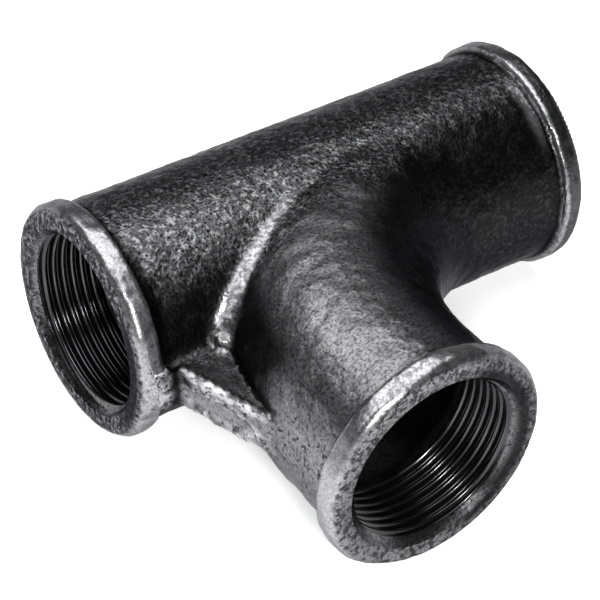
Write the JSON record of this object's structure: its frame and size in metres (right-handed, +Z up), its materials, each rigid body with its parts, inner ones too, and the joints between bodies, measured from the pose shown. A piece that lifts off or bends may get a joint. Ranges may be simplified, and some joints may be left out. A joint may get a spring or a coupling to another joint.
{
  "type": "pitcher tee fitting",
  "caption": "Malleable iron pitcher tee: a straight run with a long swept branch, beaded ends, internal pipe threads and a cast web behind the sweep.",
  "frame": {"origin": "centre of the plain run port's face", "axes": "+X along the straight run towards the swept port, -Y out of the branch port, +Z up, square to the plane of the three centre lines"},
  "size_m": [0.1185, 0.103, 0.054],
  "materials": {
    "black_iron": "as-cast black, slightly oily, worn brighter on the beads"
  },
  "bodies": {
    "root": {"tee_body": "black_iron"}
  },
  "joints": []
}
